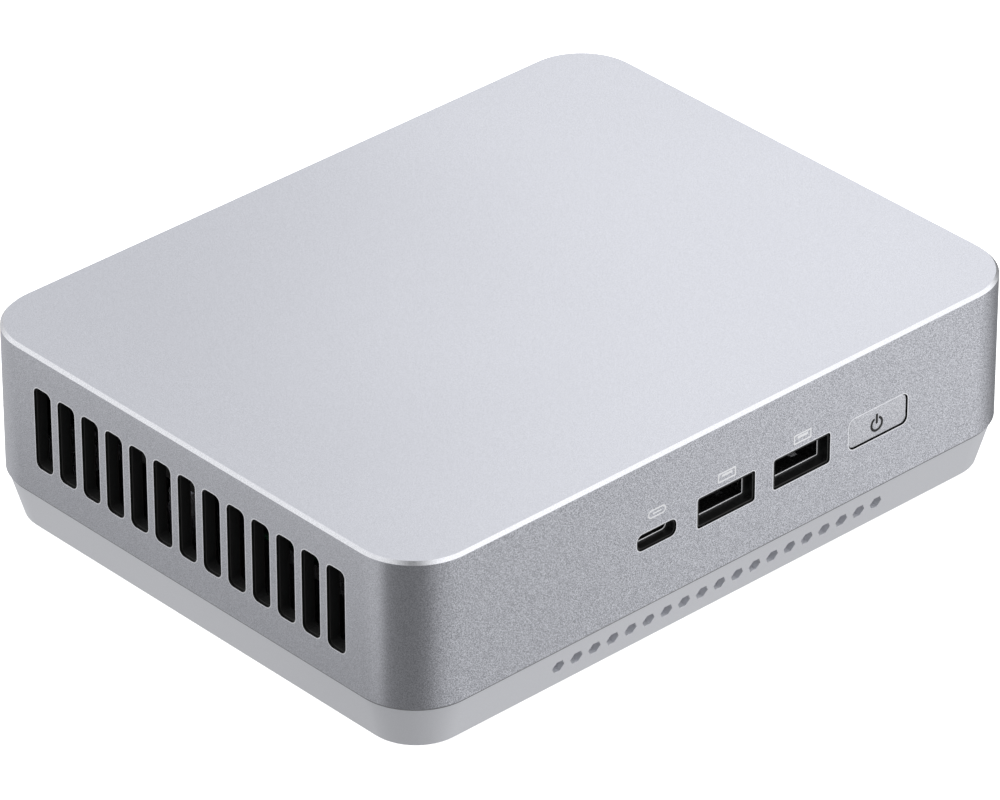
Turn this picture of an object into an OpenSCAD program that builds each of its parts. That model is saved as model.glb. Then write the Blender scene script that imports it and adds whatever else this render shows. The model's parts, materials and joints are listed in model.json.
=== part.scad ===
// Slim desktop computer: aluminium housing on a drafted plastic base.
// Origin at the centre of the footprint, on the plane the feet stand on.
// Front face towards -Y, +X to the right of someone facing the front, +Z up.

/* [Housing] */
// Width of the aluminium housing
body_w = 144; // [142:1:148]
// Depth of the aluminium housing
body_d = 112; // [111:1:116]
// Height from the feet to the lid
body_h = 41; // [41:0.5:44]
// Radius of the upright corners
corner_r = 12; // [11:0.5:13]
// Height of the seam between the base and the housing
seam_z = 12.1; // [11.8:0.1:12.4]
// Thickness of the housing walls
wall_t = 1.4; // [1.2:0.1:1.5]
// Thickness of the lid
lid_t = 1.6; // [1.2:0.1:1.8]
// Width of the bright chamfer round the lid
lid_chamfer = 0.58; // [0.3:0.02:0.8]

/* [Base cover] */
// Height of the base above the ground
base_low = 3.1; // [2.8:0.1:3.4]
// How far the base is drawn in at the seam
base_in_top = 0.3; // [0.1:0.1:0.5]
// How far the base is drawn in at its lower edge
base_in_low = 2.9; // [2:0.1:3]
// Thickness of the base walls and floor
base_t = 2; // [1.8:0.1:2.2]
// Radius of each round foot
foot_r = 7; // [5:0.5:7.5]
// Number of hexagonal vents in the front of the base
hex_count = 19; // [9:2:19]
// Pitch of the hexagonal vents
hex_pitch = 4.16; // [3.6:0.02:4.2]
// Width across the flats of a hexagonal vent
hex_flats = 2.4; // [1.6:0.1:2.6]
// Height of the row of hexagonal vents
hex_z = 7.5; // [7.2:0.1:7.8]

/* [Side vents] */
// Number of upright slots in each side wall
slot_count = 13; // [7:2:13]
// Pitch of the upright slots
slot_pitch = 6.24; // [6:0.02:6.5]
// Width of a slot
slot_w = 4.2; // [3.6:0.1:4.4]
// Height of a slot
slot_h = 16.6; // [12:0.2:17]
// Height of the middle of the slots
slot_z = 26.3; // [25.5:0.1:27]

/* [Front ports] */
// Height of the middle of the front sockets
port_z = 25.2; // [25.2:0.05:25.3]
// Middle of the USB-C opening from the centre line
usb_c_x = -16.5; // [-18:0.1:-15]
// Middle of the left USB-A opening
usb_a_left_x = -0.25; // [-1:0.05:1]
// Middle of the right USB-A opening
usb_a_right_x = 17.6; // [16.5:0.1:18]
// Middle of the power button
button_x = 35.9; // [34.5:0.1:37]
// Width of the power button's cap
button_w = 13.8; // [11:0.1:14]
// Height of the power button's cap
button_h = 5.7; // [5:0.1:5.8]

/* [Cooling] */
// Number of impeller blades
blade_count = 31; // [17:2:35]
// Outer radius of the impeller
impeller_r = 27; // [25:0.5:28]
// Number of fins in the stack
fin_count = 36; // [20:1:40]

/* [Bracket holes] */
// Spacing of the bracket holes across the base
bracket_w = 96; // [92:1:98]
// Spacing of the bracket holes from front to back
bracket_d = 56; // [52:1:58]
// Radius of a bracket hole
bracket_r = 1.5; // [1.3:0.1:1.6]

/* [Hidden] */
$fn = 48;

touch = 0.05; // clearance between neighbouring pieces that don't move
front_y = -body_d / 2;
rear_y = body_d / 2;
inner_w = body_w - 2 * wall_t;
inner_d = body_d - 2 * wall_t;
inner_r = corner_r - wall_t;
lid_in = body_h - lid_t;
base_in = base_low + base_t;
pocket_up = 0.5; // depth of the pocket that holds each foot
foot_x = 54;
foot_y = 38;
boss_x = 58;
boss_y = 42;
boss_r = 3;
// Rim of the base, inside the housing's walls
rim_gap = 0.35;
rim_t = 1.5;
rim_top = 14;
rim_depth = 1.6;
rim_w = inner_w - 2 * rim_gap;
rim_d = inner_d - 2 * rim_gap;
rim_r = inner_r - rim_gap;

// Lever and slider under the base
lever_y = 45.3; // hinge line
lever_z = 4.9;
lever_w = 36;
lever_reach = 9.3;

// Sockets: outer size of the metal and the clear mouth
usb_a_metal = [13.1, 5.8];
usb_a_mouth = [12.5, 5.1];
usb_c_metal = [8.9, 3.1];
usb_c_mouth = [8.34, 2.5];
mouth_set_back = 3.1; // front sockets, behind the outer face
socket_y = front_y + mouth_set_back;
rear_mouth_y = rear_y - 1.1;
hdmi_size = [15, 5.9];
usb_c_rear_x = [38, 26];
hdmi_x = [10.5, -8.5];
lan_x = -28;
lan_w = 16;
lan_h = 13.3;
usb_stack_x = -47;
usb_stack_pitch = 7.6;
dc_x = 50;
dc_z = 22.6;
dc_mouth_r = 2.9;

// Rear opening and panel
rear_open_w = 118;
rear_open_low = 13.8;
rear_open_high = 38.2;
grille_count = 29;
grille_pitch = 3.2;
grille_z = 33.9;

// Board
board_z = 28.1;
board_t = 1.2;
board_top = board_z + board_t;
board_w = 128;
board_d = 100;

// Cooler
fan_x = -16;
fan_y = -4;
fan_low = 30.6;
fan_high = 36.6;
plate_t = 0.6;
fan_out_y = 38.5;
shaft_r = 0.75;
pipe_x = [39, 45.6];
pipe_w = 6;
pipe_t = 2;
pipe_turn = [30, 34];
pipe_z = 32.9;
fin_x0 = -47;
fin_x1 = 27;
fin_y0 = 39.5;
fin_y1 = 53;
fin_z0 = 31;
fin_z1 = 37.1;
fin_t = 0.3;
cooler_screw = [[26, -21], [62, -21], [26, 17], [62, 17]];

// Memory and storage
mem_x = -26;
module_w = 67.6;
module_d = 30;
module_t = 1;
mem_upper_z = 24.3;
mem_lower_z = 19.8;
mem_upper_y = -31.5;
mem_lower_y = -38;
latch_len = 22;
card_z = 25;
card_t = 0.8;
card_y0 = 4;
card_w = 22;
card_mid = card_y0 + card_w / 2;
ssd_x0 = -57.5;
ssd_x1 = 22.5;
wifi_x0 = 27.5;
wifi_x1 = 57.5;

// ---------- shared shapes ----------

// Rectangle with true round corners, centred
module round_rect(w, d, r) {
    square([w - 2 * r, d], center = true);
    square([w, d - 2 * r], center = true);
    for (x = [-1, 1], y = [-1, 1])
        translate([x * (w / 2 - r), y * (d / 2 - r)]) circle(r = r);
}

// Upright block with round corners, standing on z
module round_block(w, d, r, z0, z1) {
    translate([0, 0, z0]) linear_extrude(z1 - z0) round_rect(w, d, r);
}

// Block whose walls lean: drawn in by low at z0 and by high at z1
module drafted_block(w, d, r, z0, z1, low, high) {
    h = z1 - z0;
    translate([0, 0, z0]) {
        for (x = [-1, 1], y = [-1, 1])
            translate([x * (w / 2 - r), y * (d / 2 - r), 0])
                cylinder(r1 = r - low, r2 = r - high, h = h);
        translate([-(w / 2 - r), 0, 0]) rotate([90, 0, 90])
            linear_extrude(w - 2 * r)
                polygon([[low - d / 2, 0], [d / 2 - low, 0], [d / 2 - high, h], [high - d / 2, h]]);
        translate([0, d / 2 - r, 0]) rotate([90, 0, 0])
            linear_extrude(d - 2 * r)
                polygon([[low - w / 2, 0], [w / 2 - low, 0], [w / 2 - high, h], [high - w / 2, h]]);
    }
}

// Rounded bar along Y with its section centred on x, z
module bar_y(x, z, w, h, r, y0, y1) {
    translate([x, y1, z]) rotate([90, 0, 0]) linear_extrude(y1 - y0) round_rect(w, h, r);
}

// Rounded bar along X with its section centred on y, z
module bar_x(y, z, w, h, r, x0, x1) {
    translate([x0, y, z]) rotate([90, 0, 90]) linear_extrude(x1 - x0) round_rect(w, h, r);
}

// Plain block between two corners
module block(low, high) {
    translate(low) cube(high - low);
}

// Round rod along X
module rod_x(y, z, r, x0, x1) {
    translate([x0, y, z]) rotate([0, 90, 0]) cylinder(r = r, h = x1 - x0);
}

// Round rod along Y
module rod_y(x, z, r, y0, y1) {
    translate([x, y0, z]) rotate([-90, 0, 0]) cylinder(r = r, h = y1 - y0);
}

// Points of a smooth curve through the given points
function spline_at(p, i, t) =
    let (a = p[max(i - 1, 0)], b = p[i], c = p[i + 1], d = p[min(i + 2, len(p) - 1)])
    0.5 * (2 * b + (c - a) * t + (2 * a - 5 * b + 4 * c - d) * t * t
        + (3 * b - a - 3 * c + d) * t * t * t);
function smooth_route(p, n) =
    concat([for (i = [0 : len(p) - 2], k = [0 : n - 1]) spline_at(p, i, k / n)], [p[len(p) - 1]]);
function unit(v) = v / norm(v);
function heading(p, i) = unit(p[min(i + 1, len(p) - 1)] - p[max(i - 1, 0)]);
// Sideways directions carried along the curve without twist
function carried(p, i, last) =
    let (t = heading(p, i), s = unit(last - t * (last * t)))
    i == len(p) - 1 ? [s] : concat([s], carried(p, i + 1, s));

// Lead of round section swept along a smooth curve
module lead(points, r, sides = 8) {
    p = smooth_route(points, 3);
    side = carried(p, 0, abs(heading(p, 0).z) < 0.9 ? [0, 0, 1] : [1, 0, 0]);
    rings = [for (i = [0 : len(p) - 1], k = [0 : sides - 1])
        let (u = side[i], v = cross(heading(p, i), u), a = 360 * k / sides)
        p[i] + r * (cos(a) * u + sin(a) * v)];
    walls = [for (i = [0 : len(p) - 2], k = [0 : sides - 1])
        let (a = i * sides + k, b = i * sides + (k + 1) % sides)
        [a, a + sides, b + sides, b]];
    first = [for (k = [0 : sides - 1]) k];
    last = [for (k = [sides - 1 : -1 : 0]) (len(p) - 1) * sides + k];
    polyhedron(rings, concat([first], walls, [last]));
}

// ---------- base ----------

module base_solid() {
    drafted_block(body_w, body_d, corner_r, base_low, seam_z, base_in_low, base_in_top);
}

// Hollow of the base: leaning walls below, upright inside the rim
module base_hollow() {
    slope = (base_in_low - base_in_top) / (seam_z - base_low);
    low = base_in_low + base_t - slope * base_t;
    high = base_in_top + base_t + slope * rim_depth;
    drafted_block(body_w, body_d, corner_r, base_in, seam_z - rim_depth, low, high);
    round_block(rim_w - 2 * rim_t, rim_d - 2 * rim_t, rim_r - rim_t, base_in + 2, rim_top + 1);
}

module base_cover() color("gainsboro") difference() {
    union() {
        difference() {
            union() {
                base_solid();
                // upstanding rim that locates the housing
                round_block(rim_w, rim_d, rim_r, seam_z - 1, rim_top);
            }
            base_hollow();
            // the rim is open at the back for the sockets
            block([-61, 30, seam_z], [61, body_d, rim_top + 1]);
        }
        // thick band behind the row of vents
        block([-42, front_y + 3, base_in - 1], [42, front_y + 6.2, 10]);
        // raised pad over the lever pocket
        block([-23, 31, base_in - 1], [23, 49, 8.1]);
        for (x = [-1, 1], y = [-1, 1])
            translate([x * bracket_w / 2, y * bracket_d / 2, base_low + 1]) cylinder(r = 3.4, h = 4.5);
    }
    for (i = [0 : hex_count - 1])
        translate([(i - (hex_count - 1) / 2) * hex_pitch, front_y + 7, hex_z]) rotate([90, 0, 0])
            linear_extrude(8) circle(r = hex_flats / sqrt(3), $fn = 6);
    for (x = [-1, 1], y = [-1, 1]) {
        translate([x * foot_x, y * foot_y, base_low - 1]) cylinder(r = foot_r, h = 1 + pocket_up);
        translate([x * bracket_w / 2, y * bracket_d / 2, 0]) cylinder(r = bracket_r, h = 12);
        translate([x * 61, y * 22, 3.9]) cylinder(r = 0.85, h = 4);
    }
    // pocket for the lever, with room for a fingertip
    block([-18.4, 33, base_low - 1], [18.4, 46.9, 6.5]);
    rod_x(lever_y, lever_z, 0.8, -20.5, 20.5);
    // slot for the slider
    block([27.2, 38.3, base_low - 1], [41.3, 43.7, base_in + 1]);
}

module rubber_feet() color("dimgray")
    for (x = [-1, 1], y = [-1, 1])
        translate([x * foot_x, y * foot_y, 0]) {
            cylinder(r1 = foot_r - 0.5, r2 = foot_r, h = 0.5);
            translate([0, 0, 0.5]) cylinder(r = foot_r, h = base_low + pocket_up - 0.5);
        }

module base_shield() color("silver") difference() {
    round_block(130, 94, 8, base_in, base_in + 0.6);
    for (x = [-1, 1], y = [-1, 1]) {
        translate([x * bracket_w / 2, y * bracket_d / 2, 0]) cylinder(r = 3.8, h = 12);
        translate([x * 61, y * 22, 0]) cylinder(r = 1, h = 12);
    }
    block([-24, 29, base_in - 1], [46, 60, base_in + 2]);
}

module shield_screws() color("gray")
    for (x = [-1, 1], y = [-1, 1])
        translate([x * 61, y * 22, 0]) difference() {
            union() {
                translate([0, 0, 4]) cylinder(r = 0.84, h = 2);
                translate([0, 0, base_in + 0.6]) cylinder(r = 1.9, h = 0.9);
            }
            translate([0, 0, base_in + 0.9]) cylinder(r = 0.9, h = 2, $fn = 6);
        }

// Folded channel that carries the drive's heat to the shield
module ssd_cooling_bracket() color("silver") {
    z0 = base_in + 0.6;
    translate([-44, 0, 0]) rotate([90, 0, 90]) linear_extrude(60)
        polygon([[1, z0], [8, z0], [8, 21.3], [22, 21.3], [22, z0], [29, z0], [29, z0 + 1],
            [23, z0 + 1], [23, 22.3], [7, 22.3], [7, z0 + 1], [1, z0 + 1]]);
}

module ssd_thermal_pad() color("lightsteelblue")
    block([-42, 8, 22.3], [14, 22, 23.4]);

module release_lever() color("gainsboro") difference() {
    union() {
        rod_x(lever_y, lever_z, 1.3, -lever_w / 2, lever_w / 2);
        block([-lever_w / 2, lever_y - lever_reach, lever_z - 1.3], [lever_w / 2, lever_y, lever_z + 0.7]);
    }
    rod_x(lever_y, lever_z, 0.86, -lever_w, lever_w);
    // finger scoop on the free edge
    translate([0, lever_y - lever_reach - 2, 0]) cylinder(r = 5, h = 10);
}

module lever_pin() color("silver")
    rod_x(lever_y, lever_z, 0.8, -20.4, 20.4);

module lock_slider() color("dimgray") {
    block([27.4, 38.6, 3.3], [36, 43.4, base_in + 0.1]);
    block([25, 37, base_in + 0.1], [38.4, 45, base_in + 1]);
    // grip ridges
    for (i = [0 : 4])
        block([28.9 + i * 1.3, 38.9, 2.9], [29.4 + i * 1.3, 43.1, 3.3]);
}

// ---------- housing ----------

module side_slots(r, w, h, x0, x1) {
    for (i = [0 : slot_count - 1])
        bar_x((i - (slot_count - 1) / 2) * slot_pitch, slot_z, w, h, r, x0, x1);
}

module front_openings(grow, y0, y1) {
    bar_y(usb_c_x, port_z, 9 + grow, 3.2 + grow, 1.25 + grow / 2, y0, y1);
    for (x = [usb_a_left_x, usb_a_right_x])
        bar_y(x, port_z, 13.3 + grow, 5.8 + grow, 0.6 + grow / 2, y0, y1);
    bar_y(button_x, port_z + 0.15, button_w + 0.4 + grow, button_h + 0.4 + grow,
        1.3 + grow / 2, y0, y1);
}

module top_shell() color("silver") difference() {
    union() {
        difference() {
            union() {
                round_block(body_w, body_d, corner_r, seam_z, body_h - lid_chamfer);
                drafted_block(body_w, body_d, corner_r, body_h - lid_chamfer, body_h, 0, lid_chamfer);
            }
            round_block(inner_w, inner_d, inner_r, seam_z - 1, lid_in);
        }
        for (x = [-1, 1], y = [-1, 1])
            translate([x * boss_x, y * boss_y, board_top])
                cylinder(r = boss_r, h = lid_in - board_top + 0.5);
    }
    for (x = [-1, 1], y = [-1, 1])
        translate([x * boss_x, y * boss_y, board_top - 1]) cylinder(r = 1, h = 7);
    side_slots(1.25, slot_w, slot_h, -body_w, -body_w / 2 + wall_t + 1);
    side_slots(1.25, slot_w, slot_h, body_w / 2 - wall_t - 1, body_w);
    front_openings(0, front_y - 1, front_y + wall_t + 1);
    bar_y(0, (rear_open_low + rear_open_high) / 2, rear_open_w, rear_open_high - rear_open_low, 1.5,
        rear_y - wall_t - 1, rear_y + 1);
}

module vent_liner() {
    x_in = -inner_w / 2;
    sleeve = 0.5;
    difference() {
        union() {
            block([x_in + touch, -43, 15.5], [x_in + 1.2, 43, 37]);
            side_slots(1.2, slot_w - 0.1, slot_h - 0.1, x_in - wall_t + 0.3, x_in + 0.5);
        }
        side_slots(0.75, slot_w - 0.1 - 2 * sleeve, slot_h - 0.1 - 2 * sleeve, x_in - 3, x_in + 3);
    }
}

module left_vent_liner() color("black") vent_liner();

module right_vent_liner() color("black") mirror([1, 0, 0]) vent_liner();

module front_bezel() color("black") {
    y_in = front_y + wall_t;
    difference() {
        union() {
            block([-24, y_in + touch, 20], [46, socket_y - 0.1, 31]);
            intersection() {
                front_openings(-0.1, front_y + 0.25, socket_y - 0.5);
                block([-24, front_y, 20], [27, socket_y, 31]);
            }
        }
        bar_y(usb_c_x, port_z, 8.4, 2.6, 1, front_y - 1, front_y + 9);
        for (x = [usb_a_left_x, usb_a_right_x])
            bar_y(x, port_z, usb_a_mouth.x, usb_a_mouth.y, 0.3, front_y - 1, front_y + 9);
        bar_y(button_x, port_z + 0.15, button_w + 0.4, button_h + 0.4, 1.3, front_y - 1, front_y + 9);
    }
}

module rear_io_panel() color("black") difference() {
    mid_z = (rear_open_low + rear_open_high) / 2;
    high = rear_open_high - rear_open_low;
    y_in = rear_y - wall_t;
    union() {
        bar_y(0, mid_z, rear_open_w - 0.1, high - 0.1, 1.45, y_in - 1, rear_y - 0.3);
        bar_y(0, mid_z - 0.1, 121, high + 2.2, 2, y_in - 1.4, y_in - touch);
    }
    for (i = [0 : grille_count - 1])
        bar_y((i - (grille_count - 1) / 2) * grille_pitch, grille_z, 1.9, 6.4, 0.6, 50, 60);
    for (x = usb_c_rear_x)
        bar_y(x, port_z, usb_c_metal.x + 0.3, usb_c_metal.y + 0.3, 1.5, 50, 60);
    for (x = hdmi_x)
        bar_y(x, 25.15, hdmi_size.x + 0.3, hdmi_size.y + 0.3, 0.5, 50, 60);
    block([lan_x - lan_w / 2 - 0.15, 50, board_z - lan_h - 0.15],
        [lan_x + lan_w / 2 + 0.15, 60, board_z + 0.15]);
    block([usb_stack_x - 6.7, 50, 14.55], [usb_stack_x + 6.7, 60, board_z + 0.15]);
    rod_y(dc_x, dc_z, 4.1, 50, 60);
}

// ---------- board ----------

module mainboard() color("darkgreen") difference() {
    translate([0, 0, board_z]) linear_extrude(board_t) round_rect(board_w, board_d, 3);
    for (x = [-1, 1], y = [-1, 1])
        translate([x * boss_x, y * boss_y, 0]) cylinder(r = 1.35, h = 50);
    for (p = cooler_screw)
        translate([p.x, p.y, 0]) cylinder(r = 1.3, h = 50);
    // notches where the aerial leads pass the edges
    block([62, 6, 0], [70, 18, 50]);
    block([-70, 30, 0], [-62, 44, 50]);
}

module socket_screw(r, low, head_z, head_h, high) {
    difference() {
        union() {
            translate([0, 0, low]) cylinder(r = r, h = high - low);
            translate([0, 0, head_z]) cylinder(r = 2.1, h = head_h);
        }
        translate([0, 0, head_z - 1]) cylinder(r = 0.9, h = 1.7, $fn = 6);
    }
}

module board_screws() color("gray") {
    for (x = [-1, 1], y = [-1, 1])
        translate([x * boss_x, y * boss_y, 0]) socket_screw(0.98, board_z - 0.5, board_z - 1.2, 1.2, 33.5);
    translate([wifi_x0, card_mid, 0]) socket_screw(0.98, card_z, card_z - 1, 1, 27.5);
}

// Chokes, capacitors, chips, stand-offs and the cell's holder
module board_components() color("dimgray") {
    for (i = [0 : 4])
        block([21.5 - 4 + 7 * i, -34, board_top], [21.5 + 2 + 7 * i, -28, board_top + 2.8]);
    for (i = [0 : 4])
        translate([20 + 7 * i, -40, board_top]) cylinder(r = 1.7, h = 3.4);
    for (i = [0 : 3])
        block([23 + 8 * i, 24, board_top], [28 + 8 * i, 29, board_top + 1.1]);
    for (p = cooler_screw)
        translate([p.x, p.y, board_top]) difference() {
            cylinder(r = 2.4, h = 1.8);
            translate([0, 0, -1]) cylinder(r = 1.05, h = 5);
        }
    translate([wifi_x0, card_mid, card_z + card_t]) difference() {
        cylinder(r = 2, h = board_z - card_z - card_t);
        translate([0, 0, -1]) cylinder(r = 1.02, h = 5);
    }
    // socket for the fan lead
    block([18.2, -27, board_top], [23.2, -23, board_top + 2.4]);
    // chips below the board
    block([30, 29, board_z - 1], [39, 38, board_z]);
    block([44, 30, board_z - 1], [50, 36, board_z]);
    block([20, -22, board_z - 1.2], [31, -12, board_z]);
    translate([46, -24, board_z - 3.6]) difference() {
        cylinder(r = 11.4, h = 3.6);
        translate([0, 0, -1]) cylinder(r = 10.1, h = 3.6);
        block([-20, -6, -1], [20, 6, 2.6]);
    }
}

module coin_cell() color("silver")
    translate([46, -24, board_z - 4.3]) {
        cylinder(r = 9, h = 0.4);
        translate([0, 0, 0.4]) cylinder(r = 10, h = 2.8);
    }

// ---------- sockets ----------

// Metal tube, closed at the back, with its mouth towards -Y at y = 0
module metal_socket(outer, mouth, r, depth) {
    difference() {
        bar_y(0, 0, outer.x, outer.y, r + 0.25, 0, depth);
        bar_y(0, 0, mouth.x, mouth.y, r, -1, depth - 0.5);
    }
}

module usb_a_front_shells() color("silver")
    for (x = [usb_a_left_x, usb_a_right_x])
        translate([x, socket_y, port_z]) difference() {
            metal_socket(usb_a_metal, usb_a_mouth, 0.3, 13.9);
            // contact springs pressed out of the lower wall
            for (s = [-1, 1])
                block([s * 3.4 - 0.9, 2, -usb_a_metal.y], [s * 3.4 + 0.9, 7, -2.4]);
        }

// Tongue of a USB-A socket, in the upper part of its mouth
module usb_a_tongue() {
    block([-5.5, 1.4, 0.35], [5.5, 13.3, 2.2]);
    block([-6.2, 9.5, -2.5], [6.2, 13.3, 2.5]);
    for (i = [0 : 3])
        block([-4.2 + i * 2.4, 2, 0.25], [-3 + i * 2.4, 8, 0.36]);
}

module usb_a_front_tongues() color("midnightblue")
    for (x = [usb_a_left_x, usb_a_right_x])
        translate([x, socket_y, port_z]) usb_a_tongue();

module usb_c_socket_metal() {
    metal_socket(usb_c_metal, usb_c_mouth, 1, 9.5);
    for (s = [-1, 1])
        block([s * 3 - 0.5, 2, 1.5], [s * 3 + 0.5, 8, board_z - port_z]);
}

module usb_c_shells() color("silver") {
    translate([usb_c_x, socket_y, port_z]) usb_c_socket_metal();
    for (x = usb_c_rear_x)
        translate([x, rear_mouth_y, port_z]) mirror([0, 1, 0]) usb_c_socket_metal();
}

module usb_c_tongue() {
    block([-3.35, 1, -0.35], [3.35, 6.5, 0.35]);
    block([-3.4, 6.5, -1.2], [3.4, 8.9, 1.2]);
}

module usb_c_tongues() color("black") {
    translate([usb_c_x, socket_y, port_z]) usb_c_tongue();
    for (x = usb_c_rear_x)
        translate([x, rear_mouth_y, port_z]) mirror([0, 1, 0]) usb_c_tongue();
}

// Section of an HDMI mouth: wide at the top, drawn in below
module hdmi_section(grow) {
    w = hdmi_size.x / 2 + grow;
    h = hdmi_size.y / 2 + grow;
    polygon([[-w, h], [-w, -h + 2.2], [-w + 1.6, -h], [w - 1.6, -h], [w, -h + 2.2], [w, h]]);
}

module hdmi_shells() color("silver")
    for (x = hdmi_x)
        translate([x, rear_mouth_y, 25.15]) rotate([90, 0, 0]) difference() {
            linear_extrude(11.5) hdmi_section(0);
            translate([0, 0, -1]) linear_extrude(12) hdmi_section(-0.4);
        }

module hdmi_tongues() color("black")
    for (x = hdmi_x)
        translate([x, rear_mouth_y, 25.15]) {
            block([-6, -9.9, -0.2], [6, -1.6, 1.2]);
            block([-6, -10.9, -1.2], [6, -9.9, 2.4]);
        }

module lan_jack() color("silver")
    translate([lan_x, 0, 0]) difference() {
        block([-lan_w / 2, 36, board_z - lan_h], [lan_w / 2, rear_mouth_y, board_z]);
        block([-5.9, 43, 16.6], [5.9, 60, 23.4]);
        block([-3.1, 43, 23.3], [3.1, 60, 25.2]);
        block([-1.7, 43, 25.1], [1.7, 60, 26.4]);
    }

module usb_a_rear_shell() color("silver") difference() {
    block([usb_stack_x - 6.55, 38, 14.7], [usb_stack_x + 6.55, rear_mouth_y, board_z]);
    for (k = [0, 1])
        bar_y(usb_stack_x, port_z - k * usb_stack_pitch, usb_a_mouth.x, usb_a_mouth.y, 0.3, 38.6, 60);
}

module usb_a_rear_tongues() color("midnightblue")
    for (k = [0, 1])
        translate([usb_stack_x, rear_mouth_y, port_z - k * usb_stack_pitch]) mirror([0, 1, 0])
            usb_a_tongue();

module dc_jack() color("black") difference() {
    union() {
        block([dc_x - 4.5, 41, 17.1], [dc_x + 4.5, 53.1, board_z]);
        rod_y(dc_x, dc_z, 3.9, 53, rear_y - 0.5);
    }
    rod_y(dc_x, dc_z, dc_mouth_r, 43, 60);
}

module dc_pin() color("gold") {
    rod_y(dc_x, dc_z, 1.25, 43, rear_y - 1.8);
}

// ---------- power button ----------

module power_mark(grow) {
    difference() {
        circle(r = 1.5 + grow);
        circle(r = 1.05 - grow);
        polygon([[0, 0], [1.4 - 1.4 * grow, 3], [-1.4 + 1.4 * grow, 3]]);
    }
    translate([0, 1.05]) square([0.45 + 2 * grow, 1.9 + 2 * grow], center = true);
}

module power_button() color("darkgray") difference() {
    union() {
        bar_y(button_x, port_z + 0.15, button_w, button_h, 1.2, front_y + 0.05, socket_y + 0.1);
        bar_y(button_x, port_z + 0.15, 15.4, 5.6, 0.8, socket_y + 0.1, socket_y + 0.8);
        block([button_x - 1.5, socket_y, port_z - 1.5], [button_x + 1.5, socket_y + 1.15, port_z + 1.5]);
    }
    translate([button_x - 0.3, front_y + 0.2, port_z - 0.15]) rotate([90, 0, 0])
        linear_extrude(1) power_mark(0.01);
}

module power_symbol() color("black")
    translate([button_x - 0.3, front_y + 0.2, port_z - 0.15]) rotate([90, 0, 0])
        linear_extrude(0.16) power_mark(0);

module power_switch() color("dimgray") difference() {
    block([button_x - 3, -50.5, 23.6], [button_x + 3, -46.5, board_z]);
    block([button_x - 1.1, -51, port_z - 1.1], [button_x + 1.1, -48.7, port_z + 1.1]);
}

module switch_plunger() color("black")
    block([button_x - 1, -51.7, port_z - 1], [button_x + 1, -49.3, port_z + 1]);

// ---------- cooler ----------

module cpu_substrate() color("darkgreen")
    block([30, -24, board_top], [58, 20, board_top + 1.2]);

module cpu_dies() color("slategray") {
    block([36, -12, board_top + 1.2], [51, 4, board_top + 1.8]);
    block([36, 4.3, board_top + 1.2], [51, 12, board_top + 1.8]);
}

module cold_plate() color("peru") difference() {
    union() {
        block([32, -20, 31.1], [56, 16, pipe_z]);
        for (p = cooler_screw)
            translate([p.x, p.y, 31.1]) cylinder(r = 2.8, h = 0.8);
        block([26, -23, 31.1], [62, -19, 31.9]);
        block([26, 15, 31.1], [62, 19, 31.9]);
    }
    for (p = cooler_screw)
        translate([p.x, p.y, 0]) cylinder(r = 1.2, h = 50);
}

module cooler_screws() color("gray")
    for (p = cooler_screw)
        translate([p.x, p.y, 0]) difference() {
            union() {
                translate([0, 0, 28.6]) cylinder(r = 1, h = 4);
                translate([0, 0, 31.9]) cylinder(r = 2.2, h = 1.4);
            }
            translate([0, 0, 32.4]) cylinder(r = 1, h = 2, $fn = 6);
        }

// Flat pipe: up from the plate, round a quarter turn, along the fins
module heat_pipe(x) {
    turn_r = x - pipe_turn.x;
    translate([0, 0, pipe_z]) linear_extrude(pipe_t) {
        translate([x - pipe_w / 2, -17]) square([pipe_w, pipe_turn.y + 17]);
        translate([x, -17]) circle(r = pipe_w / 2);
        intersection() {
            translate(pipe_turn) difference() {
                circle(r = turn_r + pipe_w / 2, $fn = 96);
                circle(r = turn_r - pipe_w / 2, $fn = 96);
            }
            translate(pipe_turn) square(40);
        }
        translate([fin_x0 + 5, pipe_turn.y + turn_r - pipe_w / 2])
            square([pipe_turn.x - fin_x0 - 5, pipe_w]);
        translate([fin_x0 + 5, pipe_turn.y + turn_r]) circle(r = pipe_w / 2);
    }
}

module heat_pipes() color("sienna")
    for (x = pipe_x) heat_pipe(x);

module fin_stack() color("silver") difference() {
    union() {
        for (i = [0 : fin_count - 1])
            translate([fin_x0 + i * (fin_x1 - fin_x0 - fin_t) / (fin_count - 1), fin_y0, fin_z0])
                cube([fin_t, fin_y1 - fin_y0, fin_z1 - fin_z0]);
        block([fin_x0, fin_y0, fin_z0], [fin_x1, fin_y1, fin_z0 + 0.3]);
        block([fin_x0, fin_y0, fin_z1 - 0.3], [fin_x1, fin_y1, fin_z1]);
    }
    block([fin_x0 + 1, fin_y0 + 0.35, pipe_z - 0.02], [fin_x1 + 5, fin_y1 - 0.3, pipe_z + pipe_t + 0.02]);
}

// Outline of the blower: round, running out square to the fins
module blower_outline(r) {
    circle(r = r, $fn = 96);
    translate([-r, 0]) square([2 * r, fan_out_y - fan_y]);
}

module fan_housing() color("dimgray") translate([fan_x, fan_y, fan_low]) {
    linear_extrude(plate_t) difference() {
        blower_outline(31);
        difference() {
            circle(r = 20);
            circle(r = 11);
            for (a = [0, 60, 120])
                rotate(a) square([44, 3], center = true);
        }
    }
    translate([0, 0, plate_t]) linear_extrude(fan_high - fan_low - plate_t) difference() {
        blower_outline(31);
        blower_outline(29.6);
        translate([-29.6, fan_out_y - fan_y - 1]) square([59.2, 3]);
    }
}

module fan_cover() color("silver") translate([fan_x, fan_y, fan_high]) linear_extrude(0.5) difference() {
    blower_outline(31);
    circle(r = 21);
}

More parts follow.
